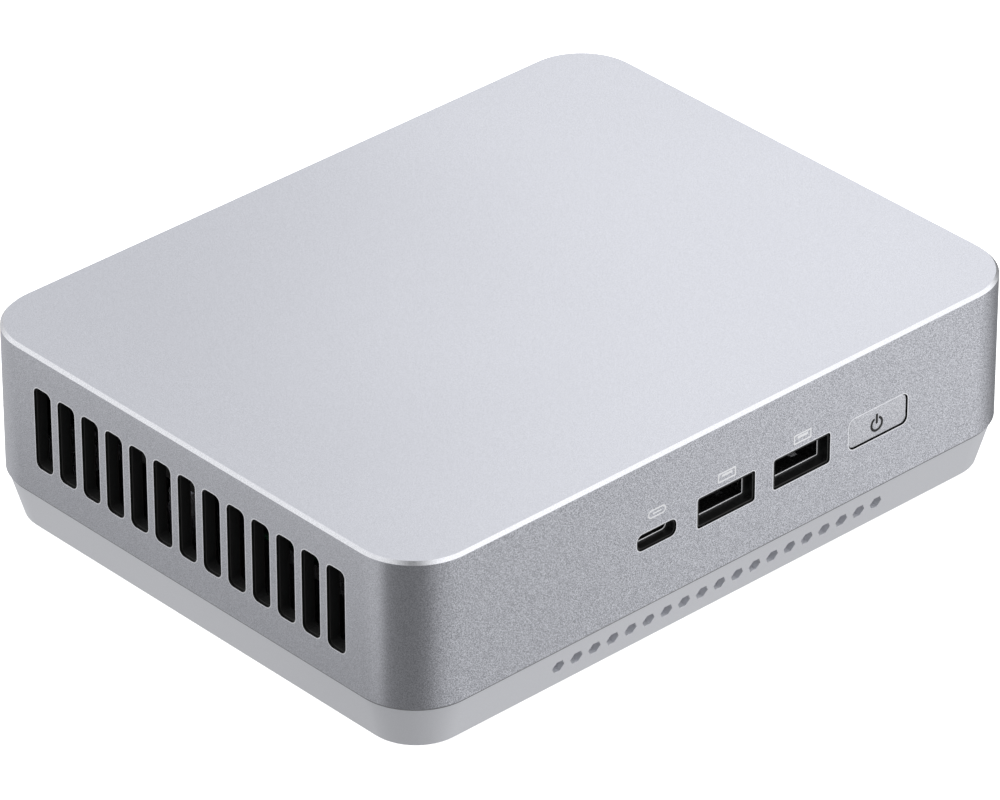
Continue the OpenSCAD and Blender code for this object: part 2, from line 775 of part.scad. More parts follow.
// Blade outline: swept back towards its tip
function blade_edge(side) = [for (k = [0 : 5])
    let (r = 9.2 + (impeller_r - 9.2) * k / 5, a = 6 * k, w = 0.5 - 0.06 * k)
    [r * cos(a) - side * w * sin(a), r * sin(a) + side * w * cos(a)]];

module fan_impeller() color("black") translate([fan_x, fan_y, 0]) difference() {
    union() {
        translate([0, 0, 31.9]) linear_extrude(3.8) difference() {
            union() {
                circle(r = 9.6);
                for (i = [0 : blade_count - 1])
                    rotate(360 * i / blade_count)
                        polygon(concat(blade_edge(1), [for (k = [5 : -1 : 0]) blade_edge(-1)[k]]));
            }
            circle(r = 8.6);
        }
        translate([0, 0, 35.7]) cylinder(r = 9.6, h = 0.6);
        translate([0, 0, 34.6]) cylinder(r = 2, h = 1.2);
    }
    translate([0, 0, 30]) cylinder(r = shaft_r, h = 5.8);
}

module fan_shaft() color("silver")
    translate([fan_x, fan_y, 31.4]) cylinder(r = shaft_r, h = 4.4);

module fan_stator() color("peru") translate([fan_x, fan_y, 0]) difference() {
    union() {
        translate([0, 0, 31.2]) cylinder(r = 2.4, h = 3.2);
        for (a = [0 : 60 : 300])
            rotate(a) block([1.5, -1, 31.8], [7, 1, 34]);
        for (a = [0 : 60 : 300])
            rotate(a) block([6.6, -2.4, 31.8], [7.6, 2.4, 34]);
    }
    translate([0, 0, 30]) cylinder(r = shaft_r + 0.05, h = 9);
}

module fan_cable() color("black")
    lead([[8.6, -24.8, 30.1], [10.5, -27, 30.4], [13.4, -28.5, 31], [15.8, -27.4, 31.2],
        [17.2, -25, 30.7]], 0.55);

// ---------- memory, drive and wireless ----------

module memory_socket(y0, module_z, low) {
    difference() {
        block([mem_x - 36.5, y0, low], [mem_x + 36.5, y0 + 6.2, board_z]);
        block([mem_x - module_w / 2 - 0.1, y0 + 2, module_z - 0.05],
            [mem_x + module_w / 2 + 0.1, y0 + 8, module_z + module_t + 0.05]);
    }
}

module memory_socket_upper() color("black") memory_socket(mem_upper_y, mem_upper_z, 23.2);

module memory_socket_lower() color("black") memory_socket(mem_lower_y, mem_lower_z, 18.7);

// Board with four chips on each face and a half-round notch in each side
module memory_module(y0, z) {
    difference() {
        union() {
            block([mem_x - module_w / 2, y0, z], [mem_x + module_w / 2, y0 + module_d, z + module_t]);
            for (i = [0 : 3])
                translate([mem_x - 29.4 + 16 * i, y0 + 9.5, 0])
                    block([0, 0, z - 0.9], [10.8, 14.5, z + module_t + 0.9]);
        }
        for (s = [-1, 1])
            translate([mem_x + s * module_w / 2, y0 + 20, 0]) cylinder(r = 1.8, h = 50);
    }
}

module memory_module_upper() color("darkgreen") memory_module(mem_upper_y + 2.1, mem_upper_z);

module memory_module_lower() color("darkgreen") memory_module(mem_lower_y + 2.1, mem_lower_z);

// Sprung arm beside a module; its hook turns in below the board's edge
module memory_latch(side, y0, z) {
    x = mem_x + side * (module_w / 2 + 0.6);
    translate([x, y0 + 6.9, 0]) {
        translate([0, 0, z - 1.2]) cylinder(r = 0.5, h = 2.8);
        block([-0.2, 0, z - 1.2], [0.2, latch_len, z + 1.6]);
        mirror([side > 0 ? 0 : 1, 0, 0])
            block([-2.2, latch_len - 4, z - 0.7], [-0.1, latch_len - 1, z - 0.25]);
    }
}

module memory_latch_upper_left() color("silver") memory_latch(-1, mem_upper_y, mem_upper_z);

module memory_latch_upper_right() color("silver") memory_latch(1, mem_upper_y, mem_upper_z);

module memory_latch_lower_left() color("silver") memory_latch(-1, mem_lower_y, mem_lower_z);

module memory_latch_lower_right() color("silver") memory_latch(1, mem_lower_y, mem_lower_z);

// Card-edge socket with its slot towards +X
module m2_socket() {
    difference() {
        block([-63.5, card_y0 - 0.5, 24], [-55, card_y0 + card_w + 0.5, board_z]);
        block([ssd_x0 - 0.1, card_y0 - 0.1, card_z - 0.05],
            [0, card_y0 + card_w + 0.1, card_z + card_t + 0.05]);
    }
}

module m2_sockets() color("black") {
    m2_socket();
    mirror([1, 0, 0]) m2_socket();
}

module ssd_module() color("darkslategray") difference() {
    union() {
        block([ssd_x0, card_y0, card_z], [ssd_x1, card_y0 + card_w, card_z + card_t]);
        block([-48, 9, 23.5], [-36, 21, card_z]);
        block([-31, 8, 23.5], [-15, 22, card_z]);
        block([-10, 8, 23.5], [6, 22, card_z]);
    }
    translate([ssd_x1, card_mid, 0]) cylinder(r = 1.75, h = 50);
}

// Quarter-turn latch that holds the drive's free end
module ssd_latch() color("ivory") translate([ssd_x1, card_mid, 0]) {
    translate([0, 0, 24.2]) cylinder(r = 1.4, h = board_z - 24.25);
    translate([0, 0, 24.2]) linear_extrude(0.65) {
        circle(r = 1.9);
        translate([-3.6, -1.4]) square([3.6, 2.8]);
    }
    translate([0, 0, 23.3]) linear_extrude(0.9) square([2.6, 1], center = true);
}

module wifi_module() color("darkslategray") difference() {
    union() {
        block([wifi_x0, card_y0, card_z], [wifi_x1, card_y0 + card_w, card_z + card_t]);
        block([35, 6, 23.6], [53, 24, card_z]);
        for (y = [8, 22])
            translate([31, y, 24.1]) cylinder(r = 1.1, h = 0.9);
    }
    translate([wifi_x0, card_mid, 0]) cylinder(r = 1.75, h = 50);
}

module antennas() color("black")
    for (s = [-1, 1])
        block([s * 53 - 5.5, 51.9, 30.6], [s * 53 + 5.5, 53.1, 37.4]);

module antenna_cables() color("black") {
    lead([[31, 8, 23.6], [31.4, 4, 22.9], [37, 0.6, 23.6], [50, 0, 25], [60, 0.4, 26.4],
        [65.2, 6, 27.6], [66.2, 14, 29.4], [66, 28, 32.6], [65, 42, 34], [61, 48.6, 34.2],
        [55, 50.6, 34.2], [52, 51.2, 34.2]], 0.5);
    lead([[31, 22, 23.6], [31, 26, 23], [25, 30, 23.6], [0, 30.8, 24.4], [-40, 30.8, 25],
        [-58, 31.4, 26], [-64.6, 34, 27.6], [-66.2, 39, 30.4], [-65, 45, 33.2], [-61, 49, 34.2],
        [-55, 50.6, 34.2], [-52, 51.2, 34.2]], 0.5);
}

base_cover();
rubber_feet();
base_shield();
shield_screws();
ssd_cooling_bracket();
ssd_thermal_pad();
release_lever();
lever_pin();
lock_slider();
top_shell();
front_bezel();
left_vent_liner();
right_vent_liner();
rear_io_panel();
mainboard();
board_screws();
board_components();
coin_cell();
usb_a_front_shells();
usb_a_front_tongues();
usb_c_shells();
usb_c_tongues();
hdmi_shells();
hdmi_tongues();
lan_jack();
usb_a_rear_shell();
usb_a_rear_tongues();
dc_jack();
dc_pin();
power_button();
power_symbol();
power_switch();
switch_plunger();
cpu_substrate();
cpu_dies();
cold_plate();
cooler_screws();
heat_pipes();
fin_stack();
fan_housing();
fan_cover();
fan_impeller();
fan_shaft();
fan_stator();
fan_cable();
memory_socket_upper();
memory_socket_lower();
memory_module_upper();
memory_module_lower();
memory_latch_upper_left();
memory_latch_upper_right();
memory_latch_lower_left();
memory_latch_lower_right();
m2_sockets();
ssd_module();
ssd_latch();
wifi_module();
antennas();
antenna_cables();
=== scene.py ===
"""Looks of a slim desktop computer: a blasted aluminium housing on a pale plastic base.

Lengths are in millimetres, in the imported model's frame, until MM turns them into metres.
"""

import json
import math
import random

import bmesh
import bpy
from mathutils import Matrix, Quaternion, Vector, bvhtree, geometry


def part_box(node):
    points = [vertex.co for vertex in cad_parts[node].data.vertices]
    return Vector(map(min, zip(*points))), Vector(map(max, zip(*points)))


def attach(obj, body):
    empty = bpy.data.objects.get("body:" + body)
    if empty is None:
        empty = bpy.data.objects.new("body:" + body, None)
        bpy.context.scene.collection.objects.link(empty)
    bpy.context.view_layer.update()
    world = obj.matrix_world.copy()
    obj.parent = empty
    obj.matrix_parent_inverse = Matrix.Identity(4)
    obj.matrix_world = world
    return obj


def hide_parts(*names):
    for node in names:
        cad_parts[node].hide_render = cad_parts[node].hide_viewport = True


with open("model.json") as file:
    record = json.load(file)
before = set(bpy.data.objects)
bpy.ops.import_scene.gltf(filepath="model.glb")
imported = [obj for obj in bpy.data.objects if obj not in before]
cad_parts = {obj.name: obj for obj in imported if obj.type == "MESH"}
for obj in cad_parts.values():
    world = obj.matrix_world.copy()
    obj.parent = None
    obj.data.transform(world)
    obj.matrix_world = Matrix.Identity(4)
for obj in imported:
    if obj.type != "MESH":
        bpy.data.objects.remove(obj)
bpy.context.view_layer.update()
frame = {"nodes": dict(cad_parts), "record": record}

nodes = frame["nodes"]
MM = 0.001
scene = bpy.context.scene


def box_mm(node):
    """Lowest and highest corner of a CAD node, in millimetres."""
    low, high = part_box(node)
    return low / MM, high / MM


# ---------- camera ----------

CAMERA_HEADING = -42.585
CAMERA_HEIGHT_ANGLE = 31.822
CAMERA_ROLL = -0.115
CAMERA_DISTANCE = 1333.7
CAMERA_LENS = 276.97
AIM = Vector((-0.62, -0.06, 19.68))


def direction(heading, elevation):
    """Unit vector from the object: heading 0 is the front side, 90 the right side."""
    h, e = math.radians(heading), math.radians(elevation)
    return Vector((math.sin(h) * math.cos(e), -math.cos(h) * math.cos(e), math.sin(e)))


def add_camera():
    """Camera that sees the object as the photograph does."""
    camera = bpy.data.objects.new("camera", bpy.data.cameras.new("camera"))
    scene.collection.objects.link(camera)
    back = direction(CAMERA_HEADING, CAMERA_HEIGHT_ANGLE)
    camera.location = (AIM + back * CAMERA_DISTANCE) * MM
    camera.rotation_mode = "QUATERNION"
    roll = Quaternion((0, 0, 1), math.radians(CAMERA_ROLL))
    camera.rotation_quaternion = (-back).to_track_quat("-Z", "Y") @ roll
    camera.data.lens = CAMERA_LENS
    camera.data.sensor_width = 36
    camera.data.clip_start = 0.01
    camera.data.clip_end = 50
    scene.camera = camera


# ---------- light and floor ----------

# Width of the floor in metres
FLOOR_SIZE = 12.0
FLOOR_GLOW = 0.9
# Soft studio lamps: heading, elevation, reach of the bright middle, reach of the edge, strength
LAMPS = [
    (-132, 37, 18, 60, 0.73),
    (42, 38, 18, 60, 1.02),
    (137, 45, 15, 62, 0.71),
    (170, -28, 12, 52, 0.4),
    (-130, -30, 15, 62, 0.04),
    (36, -30, 12, 58, 0.43),
]
# Soft panels near the object: heading, elevation, distance, width, height, radiance, and target
PANELS = [
    (137, 32, 580, 290, 290, 0.46, (84, -70, 41)),
    (43, -32, 300, 120, 120, 0.3, (60, -56, 44)),
    (-90, 0, 110, 270, 60, 0.6, (-72, 95, -33)),
]
SKY_BASE = 0.222


def link(tree, source, target):
    """Link between two sockets."""
    tree.links.new(source, target)


def math_node(tree, operation, first, second):
    """Math node with a socket or a number on each input."""
    node = tree.nodes.new("ShaderNodeMath")
    node.operation = operation
    for socket, value in zip(node.inputs, (first, second)):
        if isinstance(value, (int, float)):
            socket.default_value = value
        else:
            link(tree, value, socket)
    return node.outputs[0]


def add_sky():
    """Studio light as wide soft lamps all round, with plain white behind the object."""
    world = bpy.data.worlds.new("studio")
    scene.world = world
    world.use_nodes = True
    tree = world.node_tree
    tree.nodes.clear()
    around = tree.nodes.new("ShaderNodeTexCoord").outputs["Generated"]
    total = SKY_BASE
    for heading, elevation, inner, outer, strength in LAMPS:
        towards = tree.nodes.new("ShaderNodeVectorMath")
        towards.operation = "DOT_PRODUCT"
        link(tree, around, towards.inputs[0])
        towards.inputs[1].default_value = direction(heading, elevation)
        fade = tree.nodes.new("ShaderNodeMapRange")
        fade.interpolation_type = "SMOOTHSTEP"
        link(tree, towards.outputs["Value"], fade.inputs["Value"])
        fade.inputs["From Min"].default_value = math.cos(math.radians(outer))
        fade.inputs["From Max"].default_value = math.cos(math.radians(inner))
        fade.inputs["To Max"].default_value = strength
        total = math_node(tree, "ADD", fade.outputs["Result"], total)
    lamps = tree.nodes.new("ShaderNodeBackground")
    lamps.inputs["Color"].default_value = (0.985, 0.99, 1.0, 1)
    link(tree, total, lamps.inputs["Strength"])
    backdrop = tree.nodes.new("ShaderNodeBackground")
    backdrop.inputs["Color"].default_value = (1, 1, 1, 1)
    seen = tree.nodes.new("ShaderNodeLightPath").outputs["Is Camera Ray"]
    mix = tree.nodes.new("ShaderNodeMixShader")
    link(tree, seen, mix.inputs["Fac"])
    link(tree, lamps.outputs[0], mix.inputs[1])
    link(tree, backdrop.outputs[0], mix.inputs[2])
    output = tree.nodes.new("ShaderNodeOutputWorld")
    link(tree, mix.outputs[0], output.inputs["Surface"])


def add_panels():
    """Soft panels close enough to give the large faces a slow change of tone."""
    for heading, elevation, distance, width, height, radiance, target in PANELS:
        light = bpy.data.lights.new("soft_panel", "AREA")
        light.shape = "RECTANGLE"
        light.size = width * MM
        light.size_y = height * MM
        light.energy = radiance * math.pi * light.size * light.size_y
        panel = bpy.data.objects.new("soft_panel", light)
        scene.collection.objects.link(panel)
        back = direction(heading, elevation)
        panel.location = (Vector(target) + back * distance) * MM
        panel.rotation_euler = back.to_track_quat("Z", "Y").to_euler()
        panel.visible_camera = False


def floor_material():
    """Bright pale paper, clear from below so that the underside can be looked at."""
    material = bpy.data.materials.new("floor_paper")
    material.use_nodes = True
    tree = material.node_tree
    paper = tree.nodes["Principled BSDF"]
    paper.inputs["Base Color"].default_value = (0.9, 0.9, 0.9, 1)
    paper.inputs["Roughness"].default_value = 0.9
    paper.inputs["Emission Color"].default_value = (1, 1, 1, 1)
    paper.inputs["Emission Strength"].default_value = FLOOR_GLOW
    clear = tree.nodes.new("ShaderNodeBsdfTransparent")
    below = tree.nodes.new("ShaderNodeNewGeometry").outputs["Backfacing"]
    mix = tree.nodes.new("ShaderNodeMixShader")
    link(tree, below, mix.inputs["Fac"])
    link(tree, paper.outputs[0], mix.inputs[1])
    link(tree, clear.outputs[0], mix.inputs[2])
    link(tree, mix.outputs[0], tree.nodes["Material Output"].inputs["Surface"])
    return material


def add_floor():
    """Plain pale floor that takes no part in the object's own light."""
    half = FLOOR_SIZE / 2
    corners = [(-half, -half, 0), (half, -half, 0), (half, half, 0), (-half, half, 0)]
    mesh = bpy.data.meshes.new("floor")
    mesh.from_pydata(corners, [], [(0, 1, 2, 3)])
    floor = bpy.data.objects.new("floor", mesh)
    scene.collection.objects.link(floor)
    floor.data.materials.append(floor_material())
    floor.visible_diffuse = False
    floor.visible_glossy = False
    floor.visible_shadow = False


# ---------- materials ----------


def linear(value):
    """Linear value of a display level from 0 to 255."""
    level = value / 255
    return level / 12.92 if level <= 0.04045 else ((level + 0.055) / 1.055) ** 2.4


def tone(red, green, blue):
    """Shader colour of three display levels."""
    return (linear(red), linear(green), linear(blue), 1)


def grey(level, cool=0):
    """Grey of a display level, shifted towards blue by cool levels."""
    return tone(level, level + cool / 6, level + cool)


def map_range(tree, source, low, high, from_low=0.3, from_high=0.7):
    """Source stretched from one span of values to another."""
    node = tree.nodes.new("ShaderNodeMapRange")
    link(tree, source, node.inputs["Value"])
    node.inputs["From Min"].default_value = from_low
    node.inputs["From Max"].default_value = from_high
    node.inputs["To Min"].default_value = low
    node.inputs["To Max"].default_value = high
    return node.outputs["Result"]


def blend_colours(tree, amount, first, second, kind="MIX"):
    """Mix of two colours, each a socket or a colour."""
    node = tree.nodes.new("ShaderNodeMix")
    node.data_type = "RGBA"
    node.blend_type = kind
    for socket, value in ((node.inputs[0], amount), (node.inputs[6], first), (node.inputs[7], second)):
        if isinstance(value, (int, float, tuple)):
            socket.default_value = value
        else:
            link(tree, value, socket)
    return node.outputs[2]


# Turn and shift, in radians and metres, that keep the noise's own grid off the flat faces
NOISE_TURN = (0.5, 0.7, 0.3)
NOISE_SHIFT = (0.0131, 0.0177, 0.0113)
BUMP_DEPTH = 0.03
PATCH_SHADE = (0.985, 1.015)
EVEN = (1, 1, 1)


def noise(tree, size, stretch=EVEN, detail=2.0):
    """Noise whose features are about size millimetres across."""
    place = tree.nodes.new("ShaderNodeTexCoord").outputs["Object"]
    mapping = tree.nodes.new("ShaderNodeMapping")
    mapping.inputs["Scale"].default_value = stretch
    mapping.inputs["Rotation"].default_value = NOISE_TURN if stretch == EVEN else (0, 0, 0)
    mapping.inputs["Location"].default_value = NOISE_SHIFT
    link(tree, place, mapping.inputs["Vector"])
    node = tree.nodes.new("ShaderNodeTexNoise")
    node.inputs["Scale"].default_value = 1 / (size * MM)
    node.inputs["Detail"].default_value = detail
    link(tree, mapping.outputs[0], node.inputs["Vector"])
    return node.outputs["Fac"]


def bump(tree, height, strength, depth):
    """Bump of depth millimetres."""
    node = tree.nodes.new("ShaderNodeBump")
    node.inputs["Strength"].default_value = strength
    node.inputs["Distance"].default_value = depth * MM
    link(tree, height, node.inputs["Height"])
    return node.outputs["Normal"]


def grain_with_painted_light_by_side(tree, grain, front, side, lid):
    """Grain that is strongest on faces turned to the front and weakest on the lid: painted light, as this
    contrast by face stands in for how the light falls on each face.
    """
    parts = tree.nodes.new("ShaderNodeSeparateXYZ")
    link(tree, tree.nodes.new("ShaderNodeTexCoord").outputs["Normal"], parts.inputs[0])
    wall = map_range(tree, parts.outputs["Y"], front, side, -1.0, -0.75)
    wall = math_node(tree, "MULTIPLY", wall, map_range(tree, parts.outputs["Z"], 1.0, 0.0, 0.4, 0.9))
    strength = math_node(tree, "ADD", wall, map_range(tree, parts.outputs["Z"], 0.0, lid, 0.4, 0.9))
    swing = math_node(tree, "MULTIPLY", math_node(tree, "SUBTRACT", grain, 0.5), strength)
    return math_node(tree, "ADD", swing, 0.5)


def finish(name, dark, light, grain=0.3, patch=20, metallic=0.0, gloss=(0.4, 0.5), relief=0.15,
           stretch=EVEN, contrast=(0.32, 0.68), glow=0.0, sides=None):
    """Material with a fine grain over slow patches: colour, roughness and bump all follow them."""
    material = bpy.data.materials.new(name)
    material.use_nodes = True
    tree = material.node_tree
    shader = tree.nodes["Principled BSDF"]
    fine = noise(tree, grain, stretch)
    slow = noise(tree, patch, stretch, 1.0)
    amount = map_range(tree, fine, 0.0, 1.0, *contrast)
    # sides sets the grain's contrast by face direction: painted light
    if sides:
        amount = grain_with_painted_light_by_side(tree, amount, *sides)
    colour = blend_colours(tree, amount, dark, light)
    shade = map_range(tree, slow, *PATCH_SHADE)
    tint = tree.nodes.new("ShaderNodeCombineColor")
    for channel in tint.inputs:
        link(tree, shade, channel)
    colour = blend_colours(tree, 1.0, colour, tint.outputs[0], "MULTIPLY")
    link(tree, colour, shader.inputs["Base Color"])
    link(tree, map_range(tree, fine, gloss[0], gloss[1]), shader.inputs["Roughness"])
    link(tree, bump(tree, fine, relief, BUMP_DEPTH), shader.inputs["Normal"])
    shader.inputs["Metallic"].default_value = metallic
    shader.inputs["Emission Color"].default_value = light
    shader.inputs["Emission Strength"].default_value = glow
    return material


# ---------- meshes ----------


def arc(centre, radius, first, last, steps):
    """Points of an arc in degrees, both ends included."""
    turn = [math.radians(first + (last - first) * k / steps) for k in range(steps + 1)]
    return [(centre[0] + radius * math.cos(a), centre[1] + radius * math.sin(a)) for a in turn]


def round_rect(width, height, radius, centre=(0, 0), steps=6):
    """Closed outline with round corners, starting at its right side and running anticlockwise."""
    x, y = width / 2 - radius, height / 2 - radius
    points = []
    for k, (sx, sy) in enumerate(((1, -1), (1, 1), (-1, 1), (-1, -1))):
        corner = (centre[0] + sx * x, centre[1] + sy * y)
        points += arc(corner, radius, -90 + 90 * k, 90 * k, steps)
    return points


def inside(point, loop):
    """True where the point lies inside the closed outline."""
    x, y = point
    found = False
    for (x0, y0), (x1, y1) in zip(loop, loop[1:] + loop[:1]):
        if (y0 > y) != (y1 > y) and x < x0 + (y - y0) * (x1 - x0) / (y1 - y0):
            found = not found
    return found


class Shell:
    """Collects faces in millimetres, each with a material slot, and makes one object of them."""

    def __init__(self):
        self.mesh = bmesh.new()

    def face(self, points, slot=0):
        """One face through the points."""
        made = self.mesh.faces.new([self.mesh.verts.new(Vector(p) * MM) for p in points])
        made.material_index = slot

    def strip(self, first, second, slot=0):
        """Quads between two closed rings with the same number of points."""
        for k in range(len(first)):
            n = (k + 1) % len(first)
            self.face([first[k], first[n], second[n], second[k]], slot)

    def panel(self, outline, holes, place, slot=0):
        """Flat face with holes. place turns a point of the outlines into a point in space."""
        loops = [outline, *holes]
        points = [Vector(p) for loop in loops for p in loop]
        edges = []
        for loop in loops:
            start = sum(len(other) for other in loops[:loops.index(loop)])
            edges += [(start + k, start + (k + 1) % len(loop)) for k in range(len(loop))]
        result = geometry.delaunay_2d_cdt(points, edges, [], 0, 1e-6)
        flat = result[0]
        for triangle in result[2]:
            middle = sum((flat[k] for k in triangle), Vector((0, 0))) / len(triangle)
            if inside(middle, outline) and not any(inside(middle, hole) for hole in holes):
                self.face([place(*flat[k]) for k in triangle], slot)

    def object(self, name, body, materials, crease=28):
        """Joins the faces, shades them smooth but for the creases, and rides on the body."""
        bmesh.ops.remove_doubles(self.mesh, verts=self.mesh.verts, dist=2e-6)
        bmesh.ops.recalc_face_normals(self.mesh, faces=self.mesh.faces)
        for face in self.mesh.faces:
            face.smooth = True
        for edge in self.mesh.edges:
            edge.smooth = len(edge.link_faces) == 2 and edge.calc_face_angle() < math.radians(crease)
        mesh = bpy.data.meshes.new(name)
        self.mesh.to_mesh(mesh)
        self.mesh.free()
        made = bpy.data.objects.new(name, mesh)
        scene.collection.objects.link(made)
        for material in materials:
            mesh.materials.append(material)
        even = made.modifiers.new("even normals", "WEIGHTED_NORMAL")
        even.keep_sharp = True
        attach(made, body)
        return made


# ---------- housing ----------

# An opening's or a cap's size is its width, its height and the radius of its corners
CORNER_R = 12.0
WALL_T = 1.4
LID_T = 1.6
LID_CHAMFER = 0.58
SEAM_CHAMFER = 0.15
RIM_WIDTH = 0.2
CORNER_STEPS = 24
SLOT_COUNT = 13
SLOT_PITCH = 6.26
SLOT_SIZE = (4.5, 16.2, 1.25)
SLOT_Y = -0.2
SLOT_Z = 26.43
PORT_Z = 25.2
USB_C_X = -16.5
USB_C_OPENING = (9.1, 3.28, 1.25)
USB_C_SHIFT = (0, -0.02)
USB_A_X = (-0.25, 17.6)
USB_A_OPENING = (13.5, 6.06, 0.6)
USB_A_SHIFT = (-0.05, 0.03)
BUTTON_X = 35.9
BUTTON_Z = PORT_Z + 0.15
BUTTON_SIZE = (13.8, 5.7, 1.2)
BUTTON_GAP = 0.2
REAR_OPENING = (118, 24.4, 1.5)
REAR_Z = 26.0
PLATE_GAP = 0.05
SLEEVE_GAP = 0.03
SLEEVE_T = 0.22
SLEEVE_SET_BACK = 0.45
SLEEVE_TAPER = 0.05
FLANGE_SIZE = (15.4, 5.6, 0.8)
STEM_SIZE = (3.0, 3.0, 0.3)
BASE_LOW = 3.1
BASE_IN_LOW = 2.9
BASE_IN_TOP = 0.3
BOSS = (58, 42)
BOSS_R = 3.0
BOSS_LOW = 29.3
BOSS_BORE = 1.0
BOSS_BORE_TOP = 35.3


def slot_places():
    """Middles of the side slots along the depth of the housing."""
    return [SLOT_Y + (k - (SLOT_COUNT - 1) / 2) * SLOT_PITCH for k in range(SLOT_COUNT)]


def wall_holes(side, grow):
    """Outlines of the openings in one wall, in the wall's own width and height."""
    if side in ("left", "right"):
        width, height, radius = SLOT_SIZE
        return [round_rect(width + 2 * grow, height + 2 * grow, radius + grow, (y, SLOT_Z))
                for y in slot_places()]
    if side == "rear":
        width, height, radius = REAR_OPENING
        return [round_rect(width + 2 * grow, height + 2 * grow, radius + grow, (0, REAR_Z))]
    width, height, radius = BUTTON_SIZE
    openings = [(USB_C_X, PORT_Z, USB_C_SHIFT, USB_C_OPENING)]
    openings += [(x, PORT_Z, USB_A_SHIFT, USB_A_OPENING) for x in USB_A_X]
    openings.append((BUTTON_X, BUTTON_Z, (0, 0),
                     (width + 2 * BUTTON_GAP, height + 2 * BUTTON_GAP, radius + BUTTON_GAP / 2)))
    return [round_rect(w + 2 * grow, h + 2 * grow, r + grow, (x + dx, z + dz))
            for x, z, (dx, dz), (w, h, r) in openings]


def body_ring(half_w, half_d, inset, z):
    """Level ring of the housing's outline, inset from its outer face."""
    outline = round_rect(2 * (half_w - inset), 2 * (half_d - inset), CORNER_R - inset, (0, 0), CORNER_STEPS)
    return [(x, y, z) for x, y in outline]


def wall_place(side, half_w, half_d, depth):
    """Function that puts a wall's own width and height into space, depth below its outer face."""
    if side == "front":
        return lambda u, v: (u, -half_d + depth, v)
    if side == "rear":
        return lambda u, v: (u, half_d - depth, v)
    if side == "left":
        return lambda u, v: (-half_w + depth, u, v)
    return lambda u, v: (half_w - depth, u, v)


def housing_object(materials):
    """Housing with its openings and their fine bright rims, chamfered lid and inner bosses.

    Material slots: 0 outside, 1 lid chamfer, 2 inside, 3 edges of the openings (black: painted shade on the
    aluminium walls inside the openings), 4 rims.
    """
    low, high = box_mm("top_shell")
    half_w, half_d = high.x, high.y
    z_low, z_high = low.z, high.z
    z_wall = z_high - LID_CHAMFER
    z_seam = z_low + SEAM_CHAMFER
    z_in = z_high - LID_T
    shell = Shell()

    def ring(inset, z):
        return body_ring(half_w, half_d, inset, z)

    def walls(inset, z0, z1, slot):
        """Round corners of a wall; the flat stretches between them are panels."""
        bottom, top = ring(inset, z0), ring(inset, z1)
        count = CORNER_STEPS + 1
        for k in range(len(bottom)):
            n = (k + 1) % len(bottom)
            if n % count:
                shell.face([bottom[k], bottom[n], top[n], top[k]], slot)

    walls(0, z_seam, z_wall, 0)
    walls(WALL_T, z_seam, z_in, 2)
    shell.strip(ring(0, z_wall), ring(LID_CHAMFER, z_high), 1)
    shell.face(ring(LID_CHAMFER, z_high), 0)
    shell.strip(ring(0, z_seam), ring(SEAM_CHAMFER, z_low), 0)
    shell.strip(ring(SEAM_CHAMFER, z_low), ring(WALL_T, z_seam), 2)
    for side in ("front", "rear", "left", "right"):
        reach = (half_w if side in ("front", "rear") else half_d) - CORNER_R
        for depth, z_top, grow, slot in ((0, z_wall, RIM_WIDTH, 0), (WALL_T, z_in, 0, 2)):
            outline = [(-reach, z_seam), (reach, z_seam), (reach, z_top), (-reach, z_top)]
            shell.panel(outline, wall_holes(side, grow), wall_place(side, half_w, half_d, depth), slot)
        outer, inner = (wall_place(side, half_w, half_d, d) for d in (0, WALL_T))
        for wide, narrow in zip(wall_holes(side, RIM_WIDTH), wall_holes(side, 0)):
            shell.strip([outer(*p) for p in wide], [outer(*p) for p in narrow], 4)
            # the opening's aluminium wall takes slot 3, black: painted shade
            shell.strip([outer(*p) for p in narrow], [inner(*p) for p in narrow], 3)

    ceiling = [(x, y) for x, y, z in ring(WALL_T, z_in)]
    bosses = [(sx * BOSS[0], sy * BOSS[1]) for sx in (-1, 1) for sy in (-1, 1)]
    feet = [arc(centre, BOSS_R, 0, 350, 35) for centre in bosses]
    shell.panel(ceiling, feet, lambda u, v: (u, v, z_in), 2)
    for centre, foot in zip(bosses, feet):
        bore = arc(centre, BOSS_BORE, 0, 350, 35)
        levels = [[(x, y, z) for x, y in loop] for loop, z in
                  ((foot, z_in), (foot, BOSS_LOW), (bore, BOSS_LOW), (bore, BOSS_BORE_TOP))]
        for first, second in zip(levels, levels[1:]):
            shell.strip(first, second, 2)
        shell.face(levels[-1], 2)
    housing = shell.object("housing_shell", "housing", materials)
    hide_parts("top_shell")


